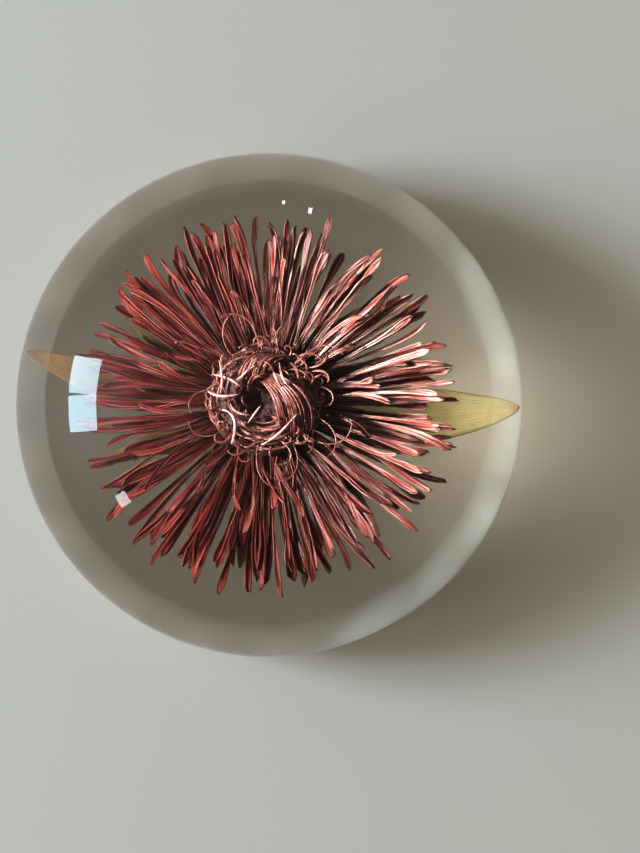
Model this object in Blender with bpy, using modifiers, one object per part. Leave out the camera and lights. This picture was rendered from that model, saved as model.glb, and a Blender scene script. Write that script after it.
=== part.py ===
"""A dried many-petalled flower sealed in a clear, low resin dome, at its real size, in metres.

The block stands on the flat face of its foot, on the XY plane, with its axis on Z. It is parted
at its widest level into two halves, which close round a pocket that holds the flower. The flower
is built on its own axis: a calyx with two long leaves and five short sepals below, then four
courses of petals on one base, and a heart of curled stamens on top.
"""

import math
import random

import bmesh
import bpy
from mathutils import Vector

MM = 0.001

# The block, from the outside in
BLOCK_RADIUS = 40.0 * MM
WIDEST_Z = 9.0 * MM
CROWN_HEIGHT = 22.4 * MM
FOOT_RADIUS = 33.0 * MM
HALF_GAP = 0.3 * MM
BLOCK_STEPS = 48
CROWN_STEPS = 9
FOOT_STEPS = 4

# The flower's axis, its calyx and the two whorls of blades on the calyx
FLOWER_X = -0.3 * MM
FLOWER_Y = -0.9 * MM
FLOWER_STEPS = 24
CALYX_BOTTOM_Z = 4.7 * MM
CALYX_CUT_RADIUS = 2.6 * MM
CALYX_RADIUS = 6.8 * MM
CALYX_RIM_Z = 11.1 * MM

# Each leaf: azimuth in degrees, then reach, greatest width and sideways bend
LEAVES = ((0.0, 37.4 * MM, 7.2 * MM, -1.4 * MM), (167.0, 35.8 * MM, 5.0 * MM, 1.6 * MM))
LEAF_ROOT_Z = 9.65 * MM
LEAF_RISE = 0.9 * MM
LEAF_BROADEST = 0.6

SEPALS = (42.0, 148.0, 199.0, 261.0, 312.0)
SEPAL_REACH = 23.2 * MM
SEPAL_ROOT_Z = 10.55 * MM
SEPAL_RISE = 0.5 * MM
SEPAL_WIDTH = 4.6 * MM
SEPAL_BEND = 0.2 * MM
SEPAL_BROADEST = 0.4

BLADE_ROOT_RADIUS = 5.6 * MM
BLADE_THICKNESS = 0.4 * MM
BLADE_FOLD = 0.4 * MM
BLADE_ROWS = 7

# Petals: a round base whose side is laid out in courses of faces, each of which grows into one
PETALS_PER_COURSE = 30
PETAL_BASE_RADIUS = 7.0 * MM
PETAL_BASE_Z = 11.4 * MM
COURSE_HEIGHT = 0.85 * MM
COURSES = (
    {"reach": 28.2 * MM, "rise": 0.9 * MM, "arch": 0.2 * MM, "seed": 11},
    {"reach": 27.9 * MM, "rise": 2.1 * MM, "arch": 0.4 * MM, "seed": 12},
    {"reach": 27.2 * MM, "rise": 3.3 * MM, "arch": 0.6 * MM, "seed": 13},
    {"reach": 25.6 * MM, "rise": 4.4 * MM, "arch": 0.9 * MM, "seed": 14},
)
PETAL_STATIONS = (0.07, 0.35, 0.62, 0.86, 1.0)
PARTINGS = (152.0, 204.0, 221.0)
PARTING_WIDTH = 9.0
PETAL_NECK_WIDTH = 0.65 * MM
PETAL_WIDTH = 1.35 * MM
PETAL_DEPTH = 0.36 * MM
PETAL_FOLD = 0.26 * MM

# The heart of stamens
HEART_RADIUS = 7.8 * MM
HEART_BOTTOM_Z = 15.1 * MM
HEART_BROW_Z = 19.4 * MM
STAMEN_RADIUS = 0.34 * MM
STAMEN_POINTS = 6
STAMEN_RINGS = (
    {
        "count": 12,
        "radius": 6.3 * MM,
        "bulge": 1.3 * MM,
        "draw_in": 3.2 * MM,
        "height": 4.7 * MM,
        "swirl": 26.0,
    },
    {
        "count": 8,
        "radius": 4.0 * MM,
        "bulge": 0.9 * MM,
        "draw_in": 2.1 * MM,
        "height": 5.6 * MM,
        "swirl": -34.0,
    },
)

# The pocket in the resin, which follows the flower with a little room
POCKET_RADIUS = 30.2 * MM
WELL_RADIUS = 8.2 * MM
WELL_Z = 4.3 * MM
CEILING = (
    (30.2 * MM, 17.2 * MM),
    (27.4 * MM, 20.6 * MM),
    (12.8 * MM, 18.3 * MM),
    (10.0 * MM, 20.6 * MM),
    (9.4 * MM, 25.4 * MM),
    (0.0, 26.6 * MM),
)
SLOT_SIZE = Vector((9.6 * MM, 4.6 * MM, 2.3 * MM))
SLOT_CENTRE_RADIUS = 28.6 * MM

RESIN = {"colour": (0.86, 0.86, 0.80), "roughness": 0.03, "alpha": 0.35}
PETAL = {"colour": (0.30, 0.075, 0.055), "roughness": 0.4}
STAMEN = {"colour": (0.36, 0.17, 0.13), "roughness": 0.45}
CALYX = {"colour": (0.58, 0.50, 0.20), "roughness": 0.5}


def clear_scene():
    for obj in list(bpy.data.objects):
        bpy.data.objects.remove(obj, do_unlink=True)


def collection(name):
    made = bpy.data.collections.new(name)
    bpy.context.scene.collection.children.link(made)
    return made


def material(name, look):
    made = bpy.data.materials.new(name)
    made.use_nodes = True
    shader = made.node_tree.nodes["Principled BSDF"]
    shader.inputs["Base Color"].default_value = (*look["colour"], 1.0)
    shader.inputs["Roughness"].default_value = look["roughness"]
    shader.inputs["Metallic"].default_value = 0.0
    shader.inputs["Alpha"].default_value = look.get("alpha", 1.0)
    made.diffuse_color = (*look["colour"], look.get("alpha", 1.0))
    return made


def mesh_object(name, bm, group, look=None, parent=None):
    mesh = bpy.data.meshes.new(name)
    bm.to_mesh(mesh)
    bm.free()
    obj = bpy.data.objects.new(name, mesh)
    group.objects.link(obj)
    obj.parent = parent
    if look is not None:
        mesh.materials.append(look)
    return obj


def turned(name, profile, steps, group, look, parent=None):
    """A solid of revolution from its (radius, height) outline, which starts and ends on the axis."""
    bm = bmesh.new()
    corners = [bm.verts.new((radius, 0.0, height)) for radius, height in profile]
    for first, second in zip(corners, corners[1:]):
        bm.edges.new((first, second))
    obj = mesh_object(name, bm, group, look, parent)
    screw = obj.modifiers.new("turn", "SCREW")
    screw.steps = steps
    screw.render_steps = steps
    screw.use_merge_vertices = True
    screw.merge_threshold = 0.01 * MM
    return obj


def boolean(obj, other, operation):
    other.hide_render = True
    other.display_type = "WIRE"
    made = obj.modifiers.new(other.name, "BOOLEAN")
    made.operation = operation
    made.object = other


def quarter_arc(centre, width, height, steps, start):
    """Points of a quarter ellipse, from its top (start 90) or its side (start 0), going down."""
    points = []
    for step in range(steps + 1):
        angle = math.radians(start - 90.0 * step / steps)
        points.append((centre[0] + width * math.cos(angle), centre[1] + height * math.sin(angle)))
    return points


def upper_half(group, cutters, look, axis):
    """The domed crown, hollow below, with a slot at each side for the tip of a long leaf."""
    part_z = WIDEST_Z + HALF_GAP / 2
    crown = quarter_arc((0.0, part_z), BLOCK_RADIUS, CROWN_HEIGHT, CROWN_STEPS, 90.0)
    crown[0] = (0.0, part_z + CROWN_HEIGHT)
    upper = turned("resin_upper", crown + [(POCKET_RADIUS, part_z), *CEILING], BLOCK_STEPS, group, look)
    for index, (azimuth, *_) in enumerate(LEAVES):
        bm = bmesh.new()
        bmesh.ops.create_uvsphere(bm, u_segments=16, v_segments=10, radius=1.0)
        bmesh.ops.scale(bm, vec=SLOT_SIZE, verts=bm.verts)
        slot = mesh_object(f"leaf_slot_{index + 1}", bm, cutters, parent=axis)
        angle = math.radians(azimuth)
        slot.location = (
            SLOT_CENTRE_RADIUS * math.cos(angle),
            SLOT_CENTRE_RADIUS * math.sin(angle),
            LEAF_ROOT_Z + LEAF_RISE / 2,
        )
        slot.rotation_euler.z = angle
        boolean(upper, slot, "DIFFERENCE")


def lower_half(group, look):
    """A flat slab that rounds in to the foot, with a well for the calyx."""
    part_z = WIDEST_Z - HALF_GAP / 2
    well = [
        (0.0, WELL_Z),
        (CALYX_CUT_RADIUS + 2.0 * MM, WELL_Z),
        (WELL_RADIUS, WELL_Z + 2.6 * MM),
        (WELL_RADIUS, part_z),
    ]
    foot = quarter_arc((FOOT_RADIUS, part_z), BLOCK_RADIUS - FOOT_RADIUS, part_z, FOOT_STEPS, 0.0)
    foot[-1] = (FOOT_RADIUS, 0.0)
    turned("resin_lower", well + foot + [(0.0, 0.0)], BLOCK_STEPS, group, look)


def blade_width(along, widest, broadest):
    """How broad a blade is along its length: broadest at the given share, then narrowing to a point."""
    if along < broadest:
        return widest * (0.42 + 0.58 * math.sin(math.pi / 2 * along / broadest))
    return widest * max(0.03, 1.0 - (along - broadest) / (1.0 - broadest)) ** 0.7


def blade(name, azimuth, reach, root_z, rise, widest, broadest, bend, group, axis):
    """A thin leaf blade that runs out from inside the calyx, folded up a little along its middle.

    Its middle bends sideways by the given length, and its two ends stay on the azimuth.
    """
    length = reach - BLADE_ROOT_RADIUS
    bm = bmesh.new()
    bmesh.ops.create_grid(bm, x_segments=BLADE_ROWS, y_segments=2, size=1.0)
    for vert in bm.verts:
        along = (vert.co.x + 1.0) / 2
        across = vert.co.y
        half_width = blade_width(along, widest, broadest) / 2
        height = rise * along * along + BLADE_FOLD * abs(across) * (1.0 - 0.6 * along)
        sideways = across * half_width + bend * math.sin(math.pi * along)
        vert.co = (length * along, sideways, height)
    obj = mesh_object(name, bm, group, parent=axis)
    solid = obj.modifiers.new("thickness", "SOLIDIFY")
    solid.thickness = BLADE_THICKNESS
    solid.offset = 0.0
    angle = math.radians(azimuth)
    obj.location = (BLADE_ROOT_RADIUS * math.cos(angle), BLADE_ROOT_RADIUS * math.sin(angle), root_z)
    obj.rotation_euler.z = angle
    return obj


def calyx(group, cutters, look, axis):
    """The fleshy cup, cut off flat below, grown together with two long leaves and five sepals."""
    profile = [
        (0.0, CALYX_RIM_Z),
        (CALYX_RADIUS - 0.5 * MM, CALYX_RIM_Z),
        (CALYX_RADIUS, CALYX_RIM_Z - 0.5 * MM),
        (CALYX_RADIUS - 0.4 * MM, CALYX_RIM_Z - 2.4 * MM),
        (CALYX_CUT_RADIUS + 2.2 * MM, CALYX_BOTTOM_Z + 1.4 * MM),
        (CALYX_CUT_RADIUS, CALYX_BOTTOM_Z),
        (0.0, CALYX_BOTTOM_Z),
    ]
    cup = turned("calyx", profile, FLOWER_STEPS, group, look, axis)
    for index, (azimuth, reach, width, bend) in enumerate(LEAVES):
        leaf = blade(
            f"leaf_{index + 1}",
            azimuth,
            reach,
            LEAF_ROOT_Z,
            LEAF_RISE,
            width,
            LEAF_BROADEST,
            bend,
            cutters,
            axis,
        )
        boolean(cup, leaf, "UNION")
    for index, azimuth in enumerate(SEPALS):
        sepal = blade(
            f"sepal_{index + 1}",
            azimuth,
            SEPAL_REACH,
            SEPAL_ROOT_Z,
            SEPAL_RISE,
            SEPAL_WIDTH,
            SEPAL_BROADEST,
            SEPAL_BEND,
            cutters,
            axis,
        )
        boolean(cup, sepal, "UNION")


def petal_width(along, widest):
    """A strap that stays narrow for the first third of its length and is broadest near its end."""
    share = min(1.0, max(0.0, (along - 0.28) / 0.58))
    return PETAL_NECK_WIDTH + (widest - PETAL_NECK_WIDTH) * share * share * (3.0 - 2.0 * share)


def section_order(face, azimuth):
    """Which corners of a base face grow into a petal's left edge, keel, right edge and groove."""
    side = Vector((-math.sin(azimuth), math.cos(azimuth), 0.0))
    middle = face.calc_center_median()
    order = {}
    for index, vert in enumerate(face.verts):
        offset = vert.co - middle
        order[(offset.dot(side) > 0.0, offset.z > 0.0)] = index
    return [order[key] for key in ((False, False), (True, False), (True, True), (False, True))]


def parting_lean(degrees):
    """How far a petal leans away, in degrees, from a gap in the ring that lies near its azimuth."""
    lean = 0.0
    for parting in PARTINGS:
        beside = (degrees - parting + 180.0) % 360.0 - 180.0
        if abs(beside) < PARTING_WIDTH:
            lean += math.copysign(0.45 * (PARTING_WIDTH - abs(beside)), beside)
    return lean


def compass(face):
    """The azimuth of a face of the base in whole degrees, from 0 to 359."""
    centre = face.calc_center_median()
    return round(math.degrees(math.atan2(centre.y, centre.x))) % 360


def plan_petal(face, course, offset, draw):
    """One petal's own turn, length, rise and width, drawn around those of its course."""
    centre = face.calc_center_median()
    azimuth = math.radians(compass(face))
    parting = parting_lean(math.degrees(azimuth + offset))
    return {
        "order": section_order(face, azimuth),
        "azimuth": azimuth,
        "root_z": centre.z,
        "offset": offset,
        "lean": math.radians(parting + draw.uniform(-2.6, 2.6)),
        "reach": course["reach"] * draw.uniform(0.92, 1.0),
        "rise": course["rise"] * draw.uniform(0.92, 1.06),
        "arch": course["arch"] * draw.uniform(0.7, 1.2),
        "widest": PETAL_WIDTH * draw.uniform(0.85, 1.12),
        "roll": math.radians(draw.uniform(-14.0, 14.0)),
    }


def petal_corners(plan, along):
    """The four corners of the petal's section at this share of its length."""
    turn = plan["azimuth"] + plan["offset"] * min(1.0, along / 0.32) + plan["lean"] * along
    radius = PETAL_BASE_RADIUS + (plan["reach"] - PETAL_BASE_RADIUS) * along
    heading = Vector((math.cos(turn), math.sin(turn), 0.0))
    side = Vector((-heading.y, heading.x, math.tan(plan["roll"] * along))).normalized()
    up = heading.cross(side)
    spine = heading * radius
    spine.z = plan["root_z"] + plan["rise"] * along + plan["arch"] * math.sin(math.pi * along)
    if along == 1.0:
        return [spine] * 4
    half_width = petal_width(along, plan["widest"]) / 2
    return [
        spine - side * half_width + up * PETAL_FOLD,
        spine - up * PETAL_DEPTH,
        spine + side * half_width + up * PETAL_FOLD,
        spine,
    ]


def petals(group, look, axis):
    """All petals and the base that they grow from, as one piece."""
    bm = bmesh.new()
    height = COURSE_HEIGHT * len(COURSES)
    bmesh.ops.create_cone(
        bm,
        cap_ends=True,
        segments=PETALS_PER_COURSE,
        radius1=PETAL_BASE_RADIUS,
        radius2=PETAL_BASE_RADIUS,
        depth=height,
    )
    bmesh.ops.translate(bm, vec=(0.0, 0.0, PETAL_BASE_Z + height / 2), verts=bm.verts)
    uprights = [edge for edge in bm.edges if abs(edge.verts[0].co.z - edge.verts[1].co.z) > height / 2]
    bmesh.ops.subdivide_edges(bm, edges=uprights, cuts=len(COURSES) - 1, use_grid_fill=True)
    number = bm.faces.layers.int.new("petal")
    sides = [face for face in bm.faces if abs(face.normal.z) < 0.5]
    plans = []
    for index, course in enumerate(COURSES):
        bottom = PETAL_BASE_Z + COURSE_HEIGHT * index
        faces = [face for face in sides if bottom < face.calc_center_median().z < bottom + COURSE_HEIGHT]
        faces.sort(key=compass)
        offset = math.radians(360.0 / PETALS_PER_COURSE) * (index / len(COURSES) - 0.375)
        draw = random.Random(course["seed"])
        for face in faces:
            face[number] = len(plans)
            plans.append(plan_petal(face, course, offset, draw))
    for along in PETAL_STATIONS:
        sides = bmesh.ops.extrude_discrete_faces(bm, faces=sides)["faces"]
        for face in sides:
            plan = plans[face[number]]
            for index, corner in zip(plan["order"], petal_corners(plan, along)):
                face.verts[index].co = corner
    bmesh.ops.remove_doubles(bm, verts=[vert for face in sides for vert in face.verts], dist=0.01 * MM)
    return mesh_object("petals", bm, group, look, axis)


def stamen_path(ring, azimuth, height):
    """A thread that leaves the cushion upright, bulges outwards and curls in over the middle."""
    points = []
    root_z = HEART_BROW_Z - 1.8 * MM
    for step in range(STAMEN_POINTS):
        along = step / (STAMEN_POINTS - 1)
        radius = ring["radius"] + ring["bulge"] * math.sin(math.pi * along) - ring["draw_in"] * along**2
        angle = math.radians(azimuth + ring["swirl"] * along**2)
        z = root_z + (height + 1.8 * MM) * math.sin(0.62 * math.pi * along)
        points.append(Vector((radius * math.cos(angle), radius * math.sin(angle), z)))
    return points


def stamen_threads(seed, cutters, axis):
    """The curled threads as one mesh, in two rings that swirl opposite ways."""
    draw = random.Random(seed)
    curve = bpy.data.curves.new("thread_lines", "CURVE")
    curve.dimensions = "3D"
    curve.bevel_depth = STAMEN_RADIUS
    curve.bevel_resolution = 0
    curve.use_fill_caps = True
    for ring in STAMEN_RINGS:
        for index in range(ring["count"]):
            azimuth = 360.0 * (index + draw.uniform(-0.12, 0.12)) / ring["count"]
            path = stamen_path(ring, azimuth, ring["height"] * draw.uniform(0.8, 1.0))
            spline = curve.splines.new("POLY")
            spline.points.add(len(path) - 1)
            for point, place in zip(spline.points, path):
                point.co = (*place, 1.0)
    lines = bpy.data.objects.new("thread_lines", curve)
    cutters.objects.link(lines)
    graph = bpy.context.evaluated_depsgraph_get()
    mesh = bpy.data.meshes.new_from_object(lines.evaluated_get(graph))
    bpy.data.objects.remove(lines)
    bm = bmesh.new()
    bm.from_mesh(mesh)
    bmesh.ops.remove_doubles(bm, verts=bm.verts, dist=0.01 * MM)
    bmesh.ops.recalc_face_normals(bm, faces=bm.faces)
    return mesh_object("threads", bm, cutters, parent=axis)


def stamens(group, cutters, look, axis):
    """The cushion that the stamens grow from, hollowed at its middle, with its threads."""
    profile = [
        (0.0, HEART_BROW_Z - 1.6 * MM),
        (1.8 * MM, HEART_BROW_Z - 1.0 * MM),
        (4.2 * MM, HEART_BROW_Z),
        (6.6 * MM, HEART_BROW_Z - 0.9 * MM),
        (HEART_RADIUS, HEART_BROW_Z - 2.3 * MM),
        (HEART_RADIUS - 0.5 * MM, HEART_BOTTOM_Z + 0.6 * MM),
        (HEART_RADIUS - 1.4 * MM, HEART_BOTTOM_Z),
        (0.0, HEART_BOTTOM_Z),
    ]
    heart = turned("stamens", profile, FLOWER_STEPS, group, look, axis)
    boolean(heart, stamen_threads(15, cutters, axis), "UNION")


def main():
    clear_scene()
    group = collection("flower_in_resin_dome")
    cutters = collection("cutters")
    axis = bpy.data.objects.new("flower_axis", None)
    axis.location = (FLOWER_X, FLOWER_Y, 0.0)
    group.objects.link(axis)
    resin = material("clear_resin", RESIN)
    upper_half(group, cutters, resin, axis)
    lower_half(group, resin)
    calyx(group, cutters, material("calyx", CALYX), axis)
    petals(group, material("petal", PETAL), axis)
    stamens(group, cutters, material("stamen", STAMEN), axis)


main()
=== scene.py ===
"""A dried flower cast in a clear resin dome, with its real surfaces, set on a pale table."""

import math
import random

import bmesh
import bpy
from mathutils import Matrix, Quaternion, Vector, noise


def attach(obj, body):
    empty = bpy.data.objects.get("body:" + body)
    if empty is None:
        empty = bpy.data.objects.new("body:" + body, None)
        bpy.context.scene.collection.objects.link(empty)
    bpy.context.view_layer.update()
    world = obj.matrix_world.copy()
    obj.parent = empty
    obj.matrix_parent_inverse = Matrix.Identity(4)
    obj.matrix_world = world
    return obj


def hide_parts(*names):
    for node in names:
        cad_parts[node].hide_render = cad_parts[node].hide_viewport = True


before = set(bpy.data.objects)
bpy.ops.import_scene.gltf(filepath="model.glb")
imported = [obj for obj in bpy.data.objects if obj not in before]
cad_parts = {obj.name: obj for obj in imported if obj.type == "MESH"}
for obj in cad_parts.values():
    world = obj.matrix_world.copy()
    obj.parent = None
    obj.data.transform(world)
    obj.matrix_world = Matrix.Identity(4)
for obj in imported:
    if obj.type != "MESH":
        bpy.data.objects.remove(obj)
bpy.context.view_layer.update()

# Calyx. The green cup of the flower, dried to olive and cut off from its stalk below, with two long
# leaves and five shorter sepals that grow from its side. It holds the petals from underneath. Shapes
# are given in millimetres here and below, and textures in metres.
MM = 0.001
FLOWER = Vector((-0.3 * MM, -0.9 * MM, 0.0))
CUP_OUTLINE = (
    (0.0, 11.1), (3.5, 11.1), (6.2, 11.1), (6.7, 10.8), (6.8, 10.3), (6.7, 9.6), (6.4, 8.7), (6.0, 7.7),
    (5.4, 6.8), (4.7, 6.05), (3.8, 5.4), (3.0, 4.95), (2.6, 4.7), (2.3, 4.7), (2.1, 4.95), (1.2, 5.0),
    (0.0, 5.02),
)
CUP_TOP = 10.9
CUP_HOLLOW_RADIUS = 2.7
BLADE_ROOT = 5.6
BLADE_THICKNESS = 0.32
LEAF_FORM = {"root_z": 9.65, "rise": 0.9, "broadest": 0.6}
LEAVES = (
    {"azimuth": 0.0, "reach": 37.4, "widest": 7.2, "swing": -1.4},
    {"azimuth": 167.0, "reach": 35.8, "widest": 5.0, "swing": 1.6},
)
SEPAL_FORM = {"reach": 23.2, "root_z": 10.55, "rise": 0.5, "widest": 4.6, "broadest": 0.4, "swing": 0.2}
SEPAL_AZIMUTHS = (42.0, 148.0, 199.0, 261.0, 312.0)


def new_mesh(name, bm, material):
    for face in bm.faces:
        face.smooth = True
    mesh = bpy.data.meshes.new(name)
    bm.to_mesh(mesh)
    bm.free()
    mesh.materials.append(material)
    piece = bpy.data.objects.new(name, mesh)
    bpy.context.scene.collection.objects.link(piece)
    return piece


def turned(outline, steps):
    """A solid of revolution about the z axis, from pairs of radius and height."""
    bm = bmesh.new()
    corners = [bm.verts.new((radius * MM, 0.0, height * MM)) for radius, height in outline]
    edges = [bm.edges.new(pair) for pair in zip(corners, corners[1:])]
    bmesh.ops.spin(
        bm, geom=corners + edges, cent=(0, 0, 0), axis=(0, 0, 1), angle=math.tau, steps=steps, use_merge=True
    )
    bmesh.ops.remove_doubles(bm, verts=bm.verts, dist=0.002 * MM)
    bmesh.ops.recalc_face_normals(bm, faces=bm.faces)
    return bm


def principled(name, **values):
    """A new material, with its node tree and its shader."""
    material = bpy.data.materials.new(name)
    material.use_nodes = True
    shader = material.node_tree.nodes["Principled BSDF"]
    for key, value in values.items():
        shader.inputs[key.replace("_", " ")].default_value = value
    return material, material.node_tree, shader


def ramp(tree, source, stops):
    """A colour ramp over the source, from pairs of place and colour."""
    node = tree.nodes.new("ShaderNodeValToRGB")
    elements = node.color_ramp.elements
    while len(elements) < len(stops):
        elements.new(0.5)
    for element, (place, colour) in zip(elements, stops):
        element.position = place
        element.color = (*colour, 1.0)
    tree.links.new(source, node.inputs["Fac"])
    return node.outputs["Color"]


def mixed(tree, kind, factor, first, second):
    """Two colours mixed. Each of the three values is a socket, a colour or a number."""
    node = tree.nodes.new("ShaderNodeMix")
    node.data_type = "RGBA"
    node.blend_type = kind
    for key, value in (("Factor", factor), ("A", first), ("B", second)):
        socket = node.inputs[key]
        if isinstance(value, bpy.types.NodeSocket):
            tree.links.new(value, socket)
        elif isinstance(value, tuple):
            socket.default_value = (*value, 1.0)
        else:
            socket.default_value = value
    return node.outputs["Result"]


def grain(tree, coordinate, size, scale, detail=3.0):
    """Noise over the coordinate, stretched by the size along each axis."""
    mapping = tree.nodes.new("ShaderNodeMapping")
    mapping.inputs["Scale"].default_value = size
    tree.links.new(coordinate, mapping.inputs["Vector"])
    node = tree.nodes.new("ShaderNodeTexNoise")
    node.inputs["Scale"].default_value = scale
    node.inputs["Detail"].default_value = detail
    tree.links.new(mapping.outputs["Vector"], node.inputs["Vector"])
    return node.outputs["Fac"]


def bumped(tree, shader, height, strength, distance):
    node = tree.nodes.new("ShaderNodeBump")
    node.inputs["Strength"].default_value = strength
    node.inputs["Distance"].default_value = distance
    tree.links.new(height, node.inputs["Height"])
    tree.links.new(node.outputs["Normal"], shader.inputs["Normal"])


cup_skin, tree, shader = principled("dried_cup_skin", Roughness=0.5)
place = tree.nodes.new("ShaderNodeTexCoord").outputs["Object"]
mottle = grain(tree, place, (1, 1, 0.5), 420, 5.0)
tree.links.new(
    ramp(tree, mottle, ((0.3, (0.07, 0.06, 0.02)), (0.55, (0.20, 0.17, 0.055)), (0.75, (0.34, 0.27, 0.11)))),
    shader.inputs["Base Color"],
)
bumped(tree, shader, mottle, 0.5, 0.0003)

bm = turned(CUP_OUTLINE, 96)
for vert in bm.verts:
    radius = vert.co.xy.length
    if radius > CUP_HOLLOW_RADIUS * MM and vert.co.z < CUP_TOP * MM:
        azimuth = math.atan2(vert.co.y, vert.co.x)
        swell = 1.0 + 0.018 * math.cos(15 * azimuth) + 0.03 * noise.noise(vert.co * 260)
        vert.co.x *= swell
        vert.co.y *= swell
bmesh.ops.translate(bm, vec=FLOWER, verts=bm.verts)
cup = new_mesh("calyx_cup", bm, cup_skin)
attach(cup, "root")
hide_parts("calyx")


def leaf_finish(name, shade):
    skin, tree, shader = principled(name, Roughness=0.6, Specular_IOR_Level=0.3)
    uv = tree.nodes.new("ShaderNodeUVMap").outputs["UV"]
    split = tree.nodes.new("ShaderNodeSeparateXYZ")
    tree.links.new(uv, split.inputs["Vector"])
    veins = grain(tree, uv, (2.2, 34, 1), 1.6, 4.0)
    stops = (
        (0.0, (0.10, 0.08, 0.02)), (0.60, (0.42, 0.32, 0.11)), (0.80, (0.74, 0.65, 0.29)),
        (0.91, (0.72, 0.60, 0.31)), (0.98, (0.54, 0.37, 0.17)), (1.0, (0.26, 0.15, 0.08)),
    )
    stops = [(place, [shade * share for share in colour]) for place, colour in stops]
    length_colour = ramp(tree, split.outputs["X"], stops)
    vein_shade = ramp(tree, veins, ((0.35, (0.72, 0.68, 0.60)), (0.62, (1.0, 1.0, 1.0))))
    place = tree.nodes.new("ShaderNodeTexCoord").outputs["Object"]
    stains = grain(tree, place, (1, 1, 1), 380, 3.0)
    blotch = ramp(tree, stains, ((0.4, (1.0, 1.0, 1.0)), (0.7, (0.84, 0.75, 0.60))))
    colour = mixed(tree, "MULTIPLY", 1.0, mixed(tree, "MULTIPLY", 1.0, length_colour, vein_shade), blotch)
    tree.links.new(colour, shader.inputs["Base Color"])
    bumped(tree, shader, veins, 0.6, 0.00025)
    return skin


leaf_skin = leaf_finish("dried_leaf_skin", 0.52)
# Painted shade: the sepals take the leaves' skin darkened further, for the shade that they lie in under the
# petals.
sepal_skin = leaf_finish("dried_sepal_skin", 0.42)


def blade_width(along, widest, broadest):
    if along < broadest:
        return widest * (0.42 + 0.58 * math.sin(math.pi / 2 * along / broadest))
    return widest * max(0.01, 1.0 - (along - broadest) / (1.0 - broadest)) ** 0.7


def blade(bm, azimuth, reach, root_z, rise, widest, broadest, swing):
    """One leaf or sepal, folded up along its middle near the root and flat at its tip."""
    grid = bmesh.ops.create_grid(bm, x_segments=44, y_segments=12, size=1.0, calc_uvs=True)["verts"]
    angle = math.radians(azimuth)
    for vert in grid:
        along = (vert.co.x + 1.0) / 2
        across = vert.co.y
        half = blade_width(along, widest, broadest) / 2
        fold = 0.4 * abs(across) ** 1.4 * (1.0 - along) ** 1.5
        vein = 0.05 * math.cos(across * math.pi * 5)
        vein += 0.10 * noise.noise(Vector((along * 9, across * 2, azimuth)))
        curl = 0.22 * abs(across) ** 6 * math.sin(along * 14 + azimuth)
        radial = BLADE_ROOT + (reach - BLADE_ROOT) * along
        sideways = across * half + swing * math.sin(along * math.pi)
        height = root_z + rise * along * along + fold + (vein + curl) * min(1.0, 3.0 * (1.0 - along))
        vert.co = Vector((
            radial * math.cos(angle) - sideways * math.sin(angle),
            radial * math.sin(angle) + sideways * math.cos(angle),
            height,
        )) * MM + FLOWER


bm = bmesh.new()
bm.loops.layers.uv.new("UVMap")
for leaf in LEAVES:
    blade(bm, **leaf, **LEAF_FORM)
leaves = new_mesh("long_leaves", bm, leaf_skin)
bm = bmesh.new()
bm.loops.layers.uv.new("UVMap")
for azimuth in SEPAL_AZIMUTHS:
    blade(bm, azimuth, **SEPAL_FORM)
sepals = new_mesh("sepals", bm, sepal_skin)
for piece in (leaves, sepals):
    thickness = piece.modifiers.new("thickness", "SOLIDIFY")
    thickness.thickness = BLADE_THICKNESS * MM
    thickness.offset = 0.0
    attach(piece, "root")
    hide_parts("calyx")

# Petals. Very many narrow straps, dried and rolled in lengthwise, dark red with dark tips. Their rolled
# edges and ribs are painted pale as highlights. On the side where the dome gathers the light, they are
# painted paler and glossier still: painted light and painted sheen. They grow in four courses.
PETALS_PER_COURSE = 30
PETAL_BASE_RADIUS = 7.0
PETAL_BASE_Z = 11.4
COURSE_HEIGHT = 0.85
COURSES = (
    {"reach": 28.2, "rise": 0.9, "arch": 0.2, "seed": 11},
    {"reach": 27.9, "rise": 2.1, "arch": 0.4, "seed": 12},
    {"reach": 27.2, "rise": 3.3, "arch": 0.6, "seed": 13},
    {"reach": 25.6, "rise": 4.4, "arch": 0.9, "seed": 14},
)
PARTINGS = (152.0, 204.0, 221.0)
PARTING_SPREAD = 9.0
NECK_WIDTH = 0.5
PETAL_WIDTH = 1.08
PETAL_THICKNESS = 0.13
# Painted light and sheen: the way toward the lit side, and the gloss painted on at that side.
PAINTED_LIGHT_WAY = (0.94, 0.26, 0.0)
PAINTED_SHEEN_LEVEL = 0.6
# Painted highlights: the pale colours laid on the rolled edges and on the tops of the ribs, where they catch
# the light.
PAINTED_EDGE_HIGHLIGHT = (0.62, 0.39, 0.33)
PAINTED_RIB_HIGHLIGHT = (0.62, 0.42, 0.36)

petal_skin, tree, shader = principled("dried_petal_skin", Roughness=0.3)
uv = tree.nodes.new("ShaderNodeUVMap").outputs["UV"]
place = tree.nodes.new("ShaderNodeTexCoord").outputs["Object"]
# Painted light and painted sheen: the nearer a point lies to the lit side, the more pale edge and rib it
# shows, and the glossier it is.
painted_light_way = tree.nodes.new("ShaderNodeVectorMath")
painted_light_way.operation = "DOT_PRODUCT"
painted_light_way.inputs[1].default_value = PAINTED_LIGHT_WAY
tree.links.new(place, painted_light_way.inputs[0])
painted_light = tree.nodes.new("ShaderNodeMapRange")
for key, value in (("From Min", -0.002), ("From Max", 0.016), ("To Min", 0.25), ("To Max", 1.0)):
    painted_light.inputs[key].default_value = value
tree.links.new(painted_light_way.outputs["Value"], painted_light.inputs["Value"])
painted_sheen = tree.nodes.new("ShaderNodeMath")
painted_sheen.operation = "MULTIPLY"
painted_sheen.inputs[1].default_value = PAINTED_SHEEN_LEVEL
tree.links.new(painted_light.outputs["Result"], painted_sheen.inputs[0])
tree.links.new(painted_sheen.outputs["Value"], shader.inputs["Specular IOR Level"])
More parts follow.
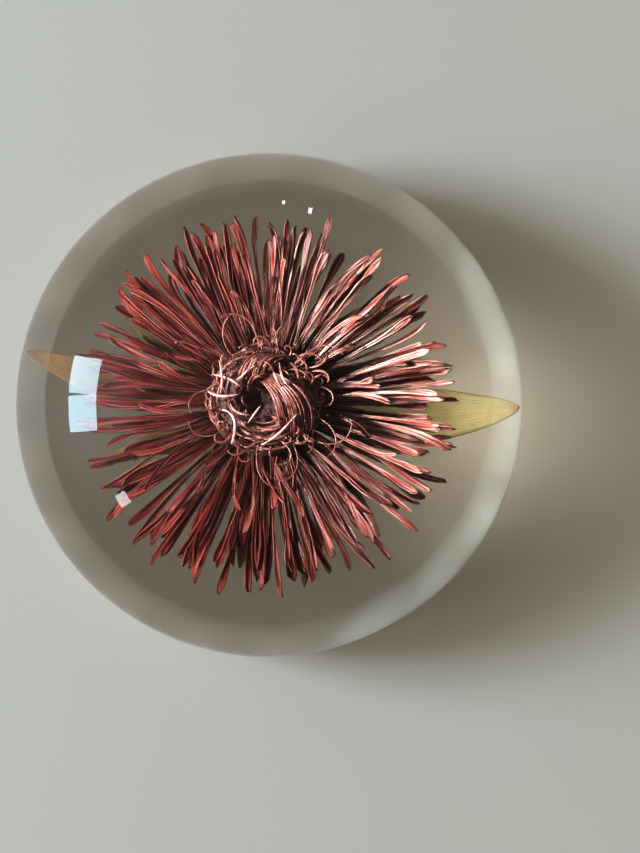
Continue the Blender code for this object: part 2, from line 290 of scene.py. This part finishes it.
split = tree.nodes.new("ShaderNodeSeparateXYZ")
tree.links.new(uv, split.inputs["Vector"])
tone = tree.nodes.new("ShaderNodeAttribute")
tone.attribute_name = "tone"
length_colour = ramp(
    tree,
    split.outputs["X"],
    ((0.0, (0.09, 0.005, 0.003)), (0.25, (0.17, 0.010, 0.007)), (0.57, (0.25, 0.018, 0.012)),
     (0.84, (0.30, 0.042, 0.028)), (0.955, (0.23, 0.034, 0.020)), (1.0, (0.02, 0.005, 0.004))),
)
# Painted highlight along the rolled edges and, faintly, along the middle crease.
edge_highlight_share = ramp(
    tree,
    split.outputs["Y"],
    ((0.0, (0.55, 0.55, 0.55)), (0.12, (0.2, 0.2, 0.2)), (0.25, (0.0, 0.0, 0.0)), (0.5, (0.1, 0.1, 0.1)),
     (0.75, (0.0, 0.0, 0.0)), (0.88, (0.2, 0.2, 0.2)), (1.0, (0.55, 0.55, 0.55))),
)
own = tree.nodes.new("ShaderNodeCombineXYZ")
tree.links.new(split.outputs["X"], own.inputs["X"])
tree.links.new(split.outputs["Y"], own.inputs["Y"])
tree.links.new(tone.outputs["Fac"], own.inputs["Z"])
ribs = grain(tree, own.outputs["Vector"], (1.3, 2.6, 40), 1.9, 4.0)
rib_shade = ramp(
    tree, ribs, ((0.36, (0.20, 0.09, 0.09)), (0.5, (0.90, 0.80, 0.80)), (0.62, (1.15, 1.15, 1.15)))
)
# Painted highlight on the tops of the ribs.
rib_highlight_share = ramp(tree, ribs, ((0.52, (0.0, 0.0, 0.0)), (0.62, (0.9, 0.9, 0.9))))
tone_shade = ramp(
    tree,
    tone.outputs["Fac"],
    ((0.0, (0.50, 0.40, 0.40)), (0.35, (0.95, 0.90, 0.90)), (0.8, (1.1, 1.1, 1.1)), (1.0, (1.3, 1.45, 1.4))),
)
specks = ramp(
    tree,
    grain(tree, place, (1, 1, 1), 2600, 2.0),
    ((0.27, (0.25, 0.16, 0.14)), (0.36, (1.0, 1.0, 1.0))),
)
# Painted light: the pale edge and rib shares grow toward the lit side.
edge_highlight_share = mixed(tree, "MULTIPLY", 1.0, edge_highlight_share, painted_light.outputs["Result"])
rib_highlight_share = mixed(tree, "MULTIPLY", 1.0, rib_highlight_share, painted_light.outputs["Result"])
colour = mixed(tree, "MIX", edge_highlight_share, length_colour, PAINTED_EDGE_HIGHLIGHT)
colour = mixed(tree, "MULTIPLY", 1.0, colour, rib_shade)
colour = mixed(tree, "MIX", rib_highlight_share, colour, PAINTED_RIB_HIGHLIGHT)
colour = mixed(tree, "MULTIPLY", 1.0, colour, tone_shade)
colour = mixed(tree, "MULTIPLY", 0.8, colour, specks)
tree.links.new(colour, shader.inputs["Base Color"])
bumped(tree, shader, ribs, 1.0, 0.0003)


def eased(share):
    share = min(1.0, max(0.0, share))
    return share * share * (3.0 - 2.0 * share)


def petal_width(along, widest, neck):
    """The width of a strap: a narrow neck, broadest near its end, and rounded off."""
    body = neck + (widest - neck) * eased((along - 0.40) / 0.48)
    return body * math.sqrt(max(0.1, 1.0 - (max(0.0, along - 0.925) / 0.075) ** 2))


def parting_lean(degrees):
    """How far a petal leans aside, in degrees: away from the partings, and into small clumps."""
    lean = 0.0
    for parting in PARTINGS:
        beside = (degrees - parting + 180.0) % 360.0 - 180.0
        if abs(beside) < PARTING_SPREAD:
            lean += math.copysign(0.45 * (PARTING_SPREAD - abs(beside)), beside)
    angle = math.radians(degrees)
    return lean + 1.3 * math.sin(11 * angle + 0.7) + 1.2 * math.sin(27 * angle + 1.9)


def petal(bm, plan, looks):
    """One petal: its spine follows the plan, and its section is a strap whose edges roll in."""
    made = bmesh.ops.create_grid(bm, x_segments=14, y_segments=6, size=1.0, calc_uvs=True)["verts"]
    rolled = looks.uniform(0.8, 2.7)
    crease = looks.uniform(-0.2, 0.6)
    pleat = looks.uniform(0.08, 0.36)
    ragged = looks.uniform(0.0, 1.0)
    twist = looks.uniform(-0.8, 0.8)
    tip_twist = 1.5 * looks.uniform(-1.0, 1.0) ** 3
    tip_curl = looks.uniform(-1.0, 1.0)
    tip_sway = looks.uniform(-0.9, 0.9)
    kink_place = looks.uniform(0.35, 0.85)
    kink = Vector((looks.uniform(-1.0, 1.0) ** 3 * 4.5, looks.uniform(-1.0, 1.0) ** 3 * 2.5))
    wave = looks.uniform(0.0, math.tau)
    sway = looks.uniform(-0.5, 0.5)
    shade = looks.random() * plan.get("shade", 1.0)
    tones = bm.verts.layers.float["tone"]
    for vert in made:
        along = 1.0 - ((1.0 - vert.co.x) / 2) ** 1.45
        across = vert.co.y
        vert[tones] = shade
        turn = plan["azimuth"] + plan["offset"] * min(1.0, along / 0.32) + plan["lean"] * along
        end = max(0.0, (along - 0.7) / 0.3)
        radius = plan["root"] + (plan["reach"] - plan["root"]) * along
        torn = 0.5 + noise.noise(Vector((across * 2.4, wave * 7.0, 0.0)))
        radius -= ragged * eased(along * 14.0 - 13.0) * torn
        heading = Vector((math.cos(turn), math.sin(turn), 0.0))
        level = Vector((-heading.y, heading.x, 0.0))
        roll = (plan["roll"] + twist) * along + tip_twist * end * end
        side = level * math.cos(roll) + Vector((0, 0, math.sin(roll)))
        up = heading.cross(side)
        spine = heading * radius
        height = plan["root_z"] + plan["rise"] * along + plan["arch"] * math.sin(math.pi * along)
        spine.z = height + tip_curl * end**2
        spine += level * (sway * math.sin(along * 5.5 + wave) * along + tip_sway * end * end)
        spine += level * (kink.x * max(0.0, along - kink_place))
        spine.z += 0.14 * math.sin(along * 9.0 + wave) + kink.y * max(0.0, along - kink_place)
        half = petal_width(along, plan["widest"], plan.get("neck", NECK_WIDTH)) / 2
        roll_in = rolled * (1.0 - 0.62 * eased(end * 1.1)) * (0.85 + 0.15 * math.sin(along * 11.0 + wave))
        lateral = half * math.sin(roll_in * across) / roll_in
        lift = half * (1.0 - math.cos(roll_in * across)) / roll_in + crease * half * abs(across)
        lift += pleat * half * math.cos(3.0 * math.pi * across) * (1.0 - 0.5 * end)
        lift += 0.13 * noise.noise(Vector((along * 13.0, across * 1.8, wave * 9.0)))
        lateral += 0.07 * noise.noise(Vector((along * 17.0, wave * 9.0, across)))
        vert.co = (spine + side * lateral + up * (lift - 0.15)) * MM + FLOWER


def petal_layers(bm):
    """Gives an empty mesh the layers that the petals' material reads."""
    bm.loops.layers.uv.new("UVMap")
    bm.verts.layers.float.new("tone")
    return bm


bm = petal_layers(bmesh.new())
looks = random.Random(40)
for index, course in enumerate(COURSES):
    draw = random.Random(course["seed"])
    offset = math.radians(360.0 / PETALS_PER_COURSE * (index / len(COURSES) - 0.375))
    for step in range(PETALS_PER_COURSE):
        degrees = 360.0 * step / PETALS_PER_COURSE
        parting = parting_lean(degrees + math.degrees(offset))
        plan = {
            "azimuth": math.radians(degrees),
            "offset": offset,
            "root": PETAL_BASE_RADIUS - 0.6,
            "root_z": PETAL_BASE_Z + COURSE_HEIGHT * (index + 0.5),
            "lean": math.radians(parting + draw.uniform(-2.6, 2.6)),
            "reach": course["reach"] * draw.uniform(0.92, 1.0) * looks.uniform(0.97, 1.03),
            "rise": course["rise"] * draw.uniform(0.92, 1.06),
            "arch": course["arch"] * draw.uniform(0.7, 1.2),
            "widest": PETAL_WIDTH * draw.uniform(0.85, 1.12),
            "roll": math.radians(draw.uniform(-14.0, 14.0)),
        }
        petal(bm, plan, looks)
petals = new_mesh("petals_outer", bm, petal_skin)

# Under petals. The lowest straps, shorter than the rest and pressed flat between them and the cup, and
# darkened in tone as painted shade for the shadow under the others. They close the ring from below, and
# only their middles show between the others.
UNDER_PETALS = 104

bm = petal_layers(bmesh.new())
draw = random.Random(47)
for step in range(UNDER_PETALS):
    plan = {
        "azimuth": math.radians(360.0 * (step + draw.uniform(-0.4, 0.4)) / UNDER_PETALS),
        "offset": 0.0,
        "root": 6.4,
        "root_z": 11.75,
        "lean": math.radians(draw.uniform(-3.0, 3.0)),
        "reach": draw.uniform(20.5, 26.3),
        "rise": draw.uniform(-0.1, 0.9),
        "arch": draw.uniform(0.0, 0.4),
        "neck": 0.9,
        "widest": draw.uniform(1.2, 1.6),
        "roll": math.radians(draw.uniform(-14.0, 14.0)),
        # Painted shade: the under petals' tone is scaled down for the shadow that they lie in.
        "shade": 0.4,
    }
    plan["lean"] += math.radians(parting_lean(math.degrees(plan["azimuth"]) % 360.0))
    petal(bm, plan, looks)
under_petals = new_mesh("petals_under", bm, petal_skin)

# Inner petals. Shorter, thinner straps round the heart, which dried in disorder: they bend, cross
# the long ones and curl at their ends. They grow from the top of the same base.
INNER_PETALS = 34
BASE_OUTLINE = ((0.0, 14.8), (6.6, 14.8), (7.0, 14.5), (7.0, 11.6), (6.7, 11.4), (0.0, 11.4))

bm = petal_layers(bmesh.new())
draw = random.Random(52)
for step in range(INNER_PETALS):
    degrees = 360.0 * (step + draw.uniform(-0.4, 0.4)) / INNER_PETALS
    plan = {
        "azimuth": math.radians(degrees),
        "offset": math.radians(draw.uniform(-5.0, 5.0)),
        "root": 6.2,
        "root_z": 14.9,
        "lean": math.radians(draw.uniform(-14.0, 14.0)),
        "reach": draw.uniform(13.5, 22.5),
        "rise": draw.uniform(3.4, 4.6),
        "arch": draw.uniform(0.8, 2.0),
        "widest": draw.uniform(0.7, 1.1),
        "roll": math.radians(draw.uniform(-40.0, 40.0)),
    }
    petal(bm, plan, looks)
inner_petals = new_mesh("petals_inner", bm, petal_skin)

bm = turned(BASE_OUTLINE, 60)
bmesh.ops.translate(bm, vec=FLOWER, verts=bm.verts)
petal_base = new_mesh("petal_base", bm, cup_skin)

for piece in (petals, under_petals, inner_petals):
    thickness = piece.modifiers.new("thickness", "SOLIDIFY")
    thickness.thickness = PETAL_THICKNESS * MM
    thickness.offset = 0.0
for piece in (petals, under_petals, inner_petals, petal_base):
    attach(piece, "root")
    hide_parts("petals")

# Stamens. A nest of fine threads on a round cushion, dried brown-pink: they lie combed round a dark
# hollow, a sheaf and a few pale straps arch over it, and those at the rim curl outwards into hooks.
HOLLOW = Vector((-1.6, -1.0))
HOLLOW_WIDTH = 2.2
HOLLOW_DEPTH = 1.6
NEST_THREADS = 88
NEST_FOOT = 17.6
CROSSING_THREADS = 16
SHEAF_THREADS = 20
RIM_THREADS = 58
THREAD_POINTS = 12
CUSHION_OUTLINE = (
    (0.0, 17.0), (1.2, 17.1), (2.2, 17.9), (3.2, 19.0), (4.4, 19.6), (5.8, 19.3), (7.0, 18.4), (7.8, 17.0),
    (7.7, 15.9), (7.0, 15.2), (6.2, 15.1), (0.0, 15.1),
)


def thread_finish(name, darkest, middle, lightest):
    skin, tree, shader = principled(name, Roughness=0.36, Specular_IOR_Level=0.5)
    place = tree.nodes.new("ShaderNodeTexCoord").outputs["Object"]
    patches = grain(tree, place, (1, 1, 1), 900, 3.0)
    stops = ((0.32, darkest), (0.5, middle), (0.7, lightest))
    tree.links.new(ramp(tree, patches, stops), shader.inputs["Base Color"])
    bumped(tree, shader, grain(tree, place, (1, 1, 1), 5200, 2.0), 0.5, 0.0001)
    return skin


thread_skin = thread_finish(
    "dried_thread_skin", (0.05, 0.011, 0.008), (0.15, 0.040, 0.030), (0.30, 0.12, 0.09)
)
pale_skin = thread_finish("pale_thread_skin", (0.27, 0.10, 0.09), (0.47, 0.24, 0.21), (0.64, 0.41, 0.38))

# Painted shade: the cushion is near black, for the shade in the hollow and between the threads that lie on
# it.
cushion_skin, tree, shader = principled("cushion_skin", Roughness=0.7)
place = tree.nodes.new("ShaderNodeTexCoord").outputs["Object"]
lumps = grain(tree, place, (1, 1, 1), 1500, 4.0)
tree.links.new(
    ramp(tree, lumps, ((0.3, (0.015, 0.004, 0.004)), (0.7, (0.09, 0.025, 0.02)))), shader.inputs["Base Color"]
)
bumped(tree, shader, lumps, 1.0, 0.0006)

bm = turned(CUSHION_OUTLINE, 72)
for vert in bm.verts:
    if vert.co.z > 15.5 * MM:
        vert.co += vert.normal * (0.35 * MM * noise.noise(vert.co * 900))
        hollow = math.exp(-((vert.co.xy / MM - HOLLOW).length / HOLLOW_WIDTH) ** 2)
        vert.co.z -= HOLLOW_DEPTH * MM * hollow
bmesh.ops.translate(bm, vec=FLOWER, verts=bm.verts)
cushion = new_mesh("stamen_cushion", bm, cushion_skin)


def dome_z(radius, top):
    """The height of the nest's rounded top at a radius."""
    return top - 0.075 * max(0.0, radius - 2.5) ** 2


def threads(name, paths, material):
    """One mesh of round threads that taper at both ends, from pairs of path and radius."""
    curve = bpy.data.curves.new(name, "CURVE")
    curve.dimensions = "3D"
    curve.bevel_depth = 1.0 * MM
    curve.bevel_resolution = 1
    curve.use_fill_caps = True
    for path, radius in paths:
        spline = curve.splines.new("POLY")
        spline.points.add(len(path) - 1)
        for index, (point, spot) in enumerate(zip(spline.points, path)):
            taper = math.sin(math.pi * min(0.92, max(0.06, index / (len(path) - 1)))) ** 0.35
            point.co = (*(Vector(spot) * MM + FLOWER), 1.0)
            point.radius = radius * taper
    lines = bpy.data.objects.new(name + "_lines", curve)
    bpy.context.scene.collection.objects.link(lines)
    graph = bpy.context.evaluated_depsgraph_get()
    mesh = bpy.data.meshes.new_from_object(lines.evaluated_get(graph))
    bpy.data.objects.remove(lines)
    bm = bmesh.new()
    bm.from_mesh(mesh)
    bmesh.ops.remove_doubles(bm, verts=bm.verts, dist=0.001 * MM)
    bmesh.ops.recalc_face_normals(bm, faces=bm.faces)
    return new_mesh(name, bm, material)


def arched(first, middle, last, low, top):
    """A thread combed over the nest: flat it is a curve through three places, and it bulges up."""
    path = []
    pull = middle * 2 - (first + last) / 2
    for point in range(THREAD_POINTS + 1):
        along = point / THREAD_POINTS
        flat = first * (1 - along) ** 2 + pull * (2 * along * (1 - along)) + last * along**2
        lift = math.sin(math.pi * (0.1 + 0.84 * along)) ** 0.6
        path.append((flat.x, flat.y, low + (dome_z(flat.length, top) - low) * lift))
    return path


def curling(start, heading, length, axis, turn, late, points=THREAD_POINTS):
    """A thread that runs straight at first and then curls about its axis, ever tighter."""
    spot = Vector(start)
    way = Vector(heading).normalized()
    path = [tuple(spot)]
    for point in range(points):
        share = (point + 0.5) / points
        way.rotate(Quaternion(axis, turn * (late + 1) * share**late / points))
        spot += way * (length / points)
        path.append(tuple(spot))
    return path


draw = random.Random(61)
nest = []
for step in range(NEST_THREADS):
    start = draw.uniform(0.0, math.tau)
    sweep = draw.choice((-1, 1)) * draw.uniform(0.4, 1.5)
    inner = draw.uniform(2.6, 7.2)
    outer = min(8.0, max(2.4, inner + draw.uniform(-2.4, 2.4)))
    top = draw.uniform(20.4, 23.4)
    path = []
    for point in range(THREAD_POINTS + 1):
        along = point / THREAD_POINTS
        radius = inner + (outer - inner) * along + 0.5 * math.sin(along * math.pi)
        angle = start + sweep * along
        lift = math.sin(math.pi * (0.08 + 0.84 * along)) ** 0.6
        z = NEST_FOOT + (dome_z(radius, top) - NEST_FOOT) * lift
        path.append((radius * math.cos(angle), radius * math.sin(angle), z))
    nest.append((path, draw.uniform(0.12, 0.24)))
for step in range(CROSSING_THREADS):
    share = step / (CROSSING_THREADS - 1)
    first = Vector((-3.6 + 4.0 * share, 2.0 + 1.2 * share))
    last = Vector((-0.6 + 4.2 * share, 6.6 - 0.6 * share))
    middle = (first + last) / 2 + Vector((-0.8, 0.5)) * draw.uniform(0.4, 1.2)
    nest.append((arched(first, middle, last, 19.2, draw.uniform(22.6, 23.6)), draw.uniform(0.14, 0.22)))
nest_piece = threads("stamen_nest", nest, thread_skin)

sheaf = []
for step in range(SHEAF_THREADS):
    share = (step % 10 + 0.5 * (step // 10)) / 9.5
    first = Vector((-0.4 + 1.8 * share, 2.2 + 1.4 * share))
    middle = Vector((1.6 + 4.6 * share, -0.9 + 0.8 * share))
    last = Vector((2.4 + 4.4 * share, -5.2 + 0.5 * share + draw.uniform(-0.6, 0.6)))
    top = 24.2 - 0.7 * (step // 10) + draw.uniform(-0.25, 0.25)
    sheaf.append((arched(first, middle, last, 19.0, top), draw.uniform(0.13, 0.19)))
sheaf_piece = threads("stamen_sheaf", sheaf, thread_skin)

straps = []
for first, middle, last, top, radius in (
    ((-7.2, 3.2), (-5.2, 2.6), (-3.2, 1.4), 23.6, 0.20),
    ((-8.0, 0.9), (-6.0, 0.1), (-3.4, 0.4), 23.2, 0.20),
    ((-4.8, -1.0), (-3.9, -2.2), (-2.0, -2.6), 23.0, 0.19),
    ((-6.4, 5.2), (-6.0, 2.6), (-6.2, 0.6), 24.6, 0.17),
    ((-5.9, -1.8), (-4.2, -3.4), (-4.6, -6.6), 23.4, 0.24),
    ((-0.4, -6.9), (2.2, -5.4), (4.9, -2.3), 25.2, 0.20),
    ((2.2, 4.8), (2.8, 2.4), (4.0, 1.2), 24.6, 0.15),
    ((1.4, 3.4), (1.9, 2.2), (2.6, 1.2), 24.9, 0.20),
    ((-1.6, 5.6), (-2.4, 3.6), (-4.0, 2.4), 24.4, 0.15),
    ((-2.2, -3.6), (-1.4, -2.6), (-0.4, -1.2), 23.0, 0.16),
):
    straps.append((arched(Vector(first), Vector(middle), Vector(last), 21.4, top), radius))
straps_piece = threads("stamen_straps", straps, pale_skin)

rim = []
for step in range(RIM_THREADS):
    angle = math.tau * (step + draw.uniform(-0.4, 0.4)) / RIM_THREADS
    outward = Vector((math.cos(angle), math.sin(angle), 0.0))
    start = outward * draw.uniform(5.6, 7.0) + Vector((0.0, 0.0, draw.uniform(18.4, 20.6)))
    heading = outward + Vector((-outward.y, outward.x, 0.0)) * draw.uniform(-0.9, 0.9)
    heading += Vector((0, 0, draw.uniform(0, 0.9)))
    axis = Vector((draw.uniform(-1, 1), draw.uniform(-1, 1), draw.choice((-1.4, 1.4)))).normalized()
    path = curling(
        start, heading, draw.uniform(2.6, 5.4), axis, draw.uniform(1.5, 5.2), draw.uniform(0.8, 2.2)
    )
    rim.append((path, draw.uniform(0.11, 0.25)))
for degrees, length, turn in (
    (-42, 10.5, 2.6), (-58, 9.5, -2.9), (-20, 9.0, -2.4), (12, 6.0, -3.4), (48, 8.0, -1.8),
    (-98, 8.0, 1.6), (-142, 7.0, -2.2), (96, 9.0, 2.0), (128, 8.0, -1.7), (172, 6.5, 2.4),
):
    angle = math.radians(degrees)
    outward = Vector((math.cos(angle), math.sin(angle), 0.12))
    path = curling(outward * 6.8 + Vector((0, 0, 19.6)), outward, length, Vector((0, 0, 1)), turn, 0.8, 18)
    rim.append((path, draw.uniform(0.08, 0.13)))
rim_piece = threads("stamen_rim", rim, thread_skin)

for piece in (cushion, nest_piece, sheaf_piece, straps_piece, rim_piece):
    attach(piece, "root")
    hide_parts("stamens")

# Resin block. One casting of clear resin poured round the flower in a round mould: a low dome over
# a rounded edge and a flat foot, polished all over. The flower is sealed in it.
BLOCK_RADIUS = 40.0
CROWN_FOOT = 9.15
CROWN_HEIGHT = 22.4
CROWN_STEPS = 56
FOOT_RADIUS = 33.0
SIDE_HEIGHT = 8.85
SIDE_STEPS = 20

resin, tree, shader = principled(
    "clear_casting_resin",
    Base_Color=(1.0, 1.0, 1.0, 1.0),
    Roughness=0.0,
    IOR=1.5,
    Transmission_Weight=1.0,
)
depth = tree.nodes.new("ShaderNodeVolumeAbsorption")
depth.inputs["Color"].default_value = (0.90, 0.84, 0.62, 1.0)
depth.inputs["Density"].default_value = 13.0
tree.links.new(depth.outputs["Volume"], tree.nodes["Material Output"].inputs["Volume"])

outline = []
for step in range(CROWN_STEPS + 1):
    angle = math.radians(90.0 * (1.0 - step / CROWN_STEPS))
    outline.append((BLOCK_RADIUS * math.cos(angle), CROWN_FOOT + CROWN_HEIGHT * math.sin(angle)))
outline[0] = (0.0, CROWN_FOOT + CROWN_HEIGHT)
for step in range(SIDE_STEPS + 1):
    angle = math.radians(90.0 * step / SIDE_STEPS)
    flare = (BLOCK_RADIUS - FOOT_RADIUS) * math.cos(angle)
    outline.append((FOOT_RADIUS + flare, SIDE_HEIGHT - SIDE_HEIGHT * math.sin(angle)))
outline.append((0.0, 0.0))
block = new_mesh("resin_block", turned(outline, 160), resin)
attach(block, "root")
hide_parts("resin_upper", "resin_lower")

# Table, light and camera. A plain pale table top in a soft room, lit through one tall window of two
# panes low on the left, which the dome mirrors and gathers on its far side. Lengths are in metres.
WINDOW_DISTANCE = 0.9

table_top, tree, shader = principled("pale_table_top", Roughness=0.55, Base_Color=(0.645, 0.59, 0.50, 1.0))
bm = bmesh.new()
bmesh.ops.create_grid(bm, x_segments=1, y_segments=1, size=1.5)
bmesh.ops.translate(bm, vec=(0.0, 0.0, -0.0001), verts=bm.verts)
table = new_mesh("table_top", bm, table_top)


def window_light(name, azimuth, elevation, width, height, distance, radiance, colour):
    """A lamp as large as a window, which faces the middle of the table."""
    light = bpy.data.lights.new(name, "AREA")
    light.shape = "RECTANGLE"
    light.size = width
    light.size_y = height
    light.energy = radiance * math.pi * width * height
    light.color = colour
    lamp = bpy.data.objects.new(name, light)
    turn, tilt = math.radians(azimuth), math.radians(elevation)
    aim = Vector((math.cos(turn) * math.cos(tilt), math.sin(turn) * math.cos(tilt), math.sin(tilt)))
    lamp.location = aim * distance
    lamp.rotation_euler = aim.to_track_quat("Z", "Y").to_euler()
    bpy.context.scene.collection.objects.link(lamp)
    return lamp


for name, azimuth in (("pane_far", 168.2), ("pane_near", 179.6)):
    lamp = window_light(name, azimuth, 26.5, 0.155, 0.24, WINDOW_DISTANCE, 17.3, (0.54, 0.85, 1.0))
    lamp.visible_transmission = False
for name, azimuth, elevation, width, height, radiance in (
    ("side_window", -150.0, 33.5, 0.060, 0.085, 12.0),
    ("far_gap", 87.5, 17.5, 0.012, 0.034, 24.0),
    ("far_gap_upper", 80.0, 20.5, 0.014, 0.056, 24.0),
):
    tint = (0.86, 0.95, 1.0)
    lamp = window_light(name, azimuth, elevation, width, height, WINDOW_DISTANCE, radiance, tint)
    lamp.visible_transmission = False

# The bright room beside that window. It adds to the light on the table, and the dome doesn't mirror
# it, nor does it show through the dome.
tint = (0.61, 0.74, 1.0)
beside = window_light("room_beside_window", 174.0, 27.0, 0.30, 0.25, WINDOW_DISTANCE, 27.0, tint)
beside.visible_glossy = False
beside.visible_transmission = False

# The same window as it reaches the flower, past the surface of the block. It stands near, keeps its
# strength with distance, and is blue enough to make up for the resin that it then shines through.
INSIDE_DISTANCE = 0.2
tint = (0.60, 0.44, 0.70)
inside = window_light("window_in_block", 184.0, 36.0, 0.05, 0.05, INSIDE_DISTANCE, 155.0, tint)
inside.data.use_nodes = True
tree = inside.data.node_tree
even = tree.nodes.new("ShaderNodeLightFalloff")
even.inputs["Strength"].default_value = 1.0 / INSIDE_DISTANCE**2
tree.links.new(even.outputs["Constant"], tree.nodes["Emission"].inputs["Strength"])
flower = bpy.data.collections.new("flower")
bloom = bpy.data.collections.new("bloom")
leaf_pair = bpy.data.collections.new("leaf_pair")
for piece in (cup, sepals, petals, under_petals, inner_petals, petal_base):
    bloom.objects.link(piece)
for piece in (cushion, nest_piece, sheaf_piece, straps_piece, rim_piece):
    bloom.objects.link(piece)
leaf_pair.objects.link(leaves)
flower.children.link(bloom)
flower.children.link(leaf_pair)
inside.light_linking.receiver_collection = flower
inside.light_linking.blocker_collection = flower

# The light that the dome gathers at its far side: on the bloom, its leaf and the table. Each row is a
# lamp: its name, the place that it lights, the way to it from there, half the breadth that it lights,
# the softness of its edge, its strength, its colour, and the only pieces that it lights.
LAMP_DISTANCE = 0.3
FROM_WINDOW = (-0.8, 0.06, 0.6)
FROM_HIGH = (-0.55, 0.05, 0.84)
FROM_ABOVE = (0.0, 0.0, 1.0)
under_block = bpy.data.collections.new("under_block")
under_block.objects.link(table)
GATHERED = (
    ("gathered_on_flower", (0.031, 0.003, 0.013), FROM_WINDOW, 0.028, 1.0, 34.0, (0.33, 0.45, 1.0), bloom),
    ("gathered_on_leaf", (0.035, -0.003, 0.010), FROM_WINDOW, 0.011, 1.0, 31.0, (0.34, 0.44, 1.0), leaf_pair),
    ("through_block", (0.0, 0.0, 0.0), FROM_ABOVE, 0.0395, 0.08, 0.102, (1.0, 0.92, 0.84), under_block),
    ("gathered_in_block", (0.032, -0.001, 0.0), FROM_HIGH, 0.020, 1.0, 0.78, (1.0, 0.94, 0.82), under_block),
    ("gathered_beyond", (0.0445, -0.001, 0.0), FROM_HIGH, 0.007, 1.0, 0.24, (1.0, 0.97, 0.90), under_block),
    ("gathered_farther", (0.052, -0.001, 0.0), FROM_HIGH, 0.012, 1.0, 0.05, (1.0, 0.95, 0.84), under_block),
)


def spot_light(name, width, strength, colour, receivers):
    """A spot lamp for the distance above, which lights and is blocked by its receivers alone."""
    light = bpy.data.lights.new(name, "SPOT")
    light.color = colour
    light.spot_size = 2.0 * math.atan(width / LAMP_DISTANCE)
    light.energy = 4.0 * math.pi**2 * LAMP_DISTANCE**2 * strength
    lamp = bpy.data.objects.new(name, light)
    lamp.light_linking.receiver_collection = receivers
    lamp.light_linking.blocker_collection = receivers
    bpy.context.scene.collection.objects.link(lamp)
    return lamp


for name, target, aim, width, blend, strength, colour, receivers in GATHERED:
    lamp = spot_light(name, width, strength, colour, receivers)
    lamp.data.shadow_soft_size = 0.018 if receivers is bloom else 0.012
    lamp.data.spot_blend = blend
    lamp.location = Vector(target) + Vector(aim) * LAMP_DISTANCE
    lamp.rotation_euler = Vector(aim).to_track_quat("Z", "Y").to_euler()

# A narrow lit ring on the table, a fifth of the way in from the edge: the steep side of the dome
# spreads it into the bright band along its rim. Each lamp throws an oval that is long along the ring,
# and the ring is brighter and bluer at the side away from the window.
RING_RADIUS = 0.0315
RING_WIDTH = 0.0015
RING_STEP = 20
RING_STRETCH = 5.6
BRIGHT_SIDE = (0.34, (0.60, 0.84, 1.0))
DIM_SIDE = (0.09, (0.95, 0.95, 0.92))
for degrees in range(-178, 182, RING_STEP):
    turn = math.radians(degrees)
    strength, colour = BRIGHT_SIDE if -60 < degrees < 40 else DIM_SIDE
    lamp = spot_light("rim_ring", RING_WIDTH, strength, colour, under_block)
    lamp.data.shadow_soft_size = 0.001
    lamp.data.spot_blend = 0.7
    lamp.location = (RING_RADIUS * math.cos(turn), RING_RADIUS * math.sin(turn), LAMP_DISTANCE)
    lamp.rotation_euler.z = turn
    lamp.scale.y = RING_STRETCH

# The room. It is dim and warm, and brighter toward the window. Mirrored in the dome it is nearly
# without colour, with a faint glow round the panes.
WINDOW_WAY = (-0.89, 0.08, 0.45)
world = bpy.data.worlds.new("soft_room")
bpy.context.scene.world = world
world.use_nodes = True
tree = world.node_tree
direction = tree.nodes.new("ShaderNodeTexCoord").outputs["Generated"]
toward = tree.nodes.new("ShaderNodeVectorMath")
toward.operation = "DOT_PRODUCT"
toward.inputs[1].default_value = WINDOW_WAY
tree.links.new(direction, toward.inputs[0])
daylight = ramp(
    tree,
    toward.outputs["Value"],
    ((0.0, (0.072, 0.066, 0.047)), (0.74, (0.195, 0.178, 0.136)), (0.98, (2.55, 2.46, 2.2))),
)
path_kind = tree.nodes.new("ShaderNodeLightPath")
mirrored = ramp(
    tree,
    toward.outputs["Value"],
    ((0.0, (0.05, 0.05, 0.05)), (0.5, (0.08, 0.07, 0.07)),
     (0.9, (0.26, 0.26, 0.26)), (0.97, (0.9, 0.9, 0.9))),
)
seen = mixed(tree, "MIX", path_kind.outputs["Is Glossy Ray"], daylight, mirrored)
tree.links.new(seen, tree.nodes["Background"].inputs["Color"])

CAMERA_PLACE = (0.008, -0.0287, 0.262)
CAMERA_TARGET = Vector((0.008, -0.0041, 0.012))
camera_data = bpy.data.cameras.new("camera")
camera_data.lens = 67.7
camera_data.clip_start = 0.01
camera = bpy.data.objects.new("camera", camera_data)
camera.location = CAMERA_PLACE
camera.rotation_euler = (CAMERA_TARGET - camera.location).to_track_quat("-Z", "Y").to_euler()
bpy.context.scene.collection.objects.link(camera)
bpy.context.scene.camera = camera
bpy.context.scene.view_settings.view_transform = "Standard"
